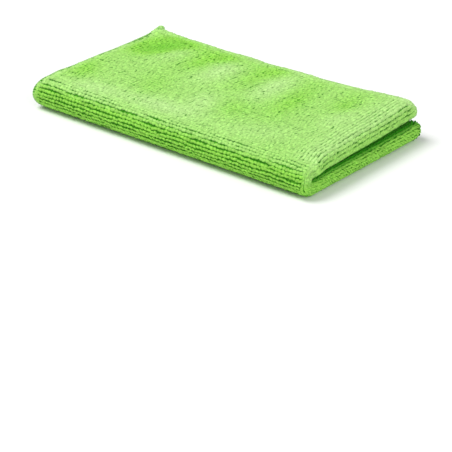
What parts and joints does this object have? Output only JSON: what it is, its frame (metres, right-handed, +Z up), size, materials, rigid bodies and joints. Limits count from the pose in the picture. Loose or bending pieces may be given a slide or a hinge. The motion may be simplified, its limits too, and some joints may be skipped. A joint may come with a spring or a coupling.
{
  "type": "folded microfibre cloth",
  "caption": "Terry microfibre cleaning cloth, folded in half lengthwise, across and lengthwise again to a flat pad with closed rolls at its front and right and open hems at its back and left.",
  "frame": {"origin": "centre of the pad's underside, on the surface that it rests on", "axes": "+X along the pad's long side, towards its closed end; -Y towards its front fold; +Z up"},
  "size_m": [0.2004, 0.1076, 0.0236],
  "materials": {
    "terry": "bright green microfibre terry with short loops on both faces and self-coloured overlocked hems"
  },
  "bodies": {
    "root": {"cloth": "terry"}
  },
  "joints": []
}
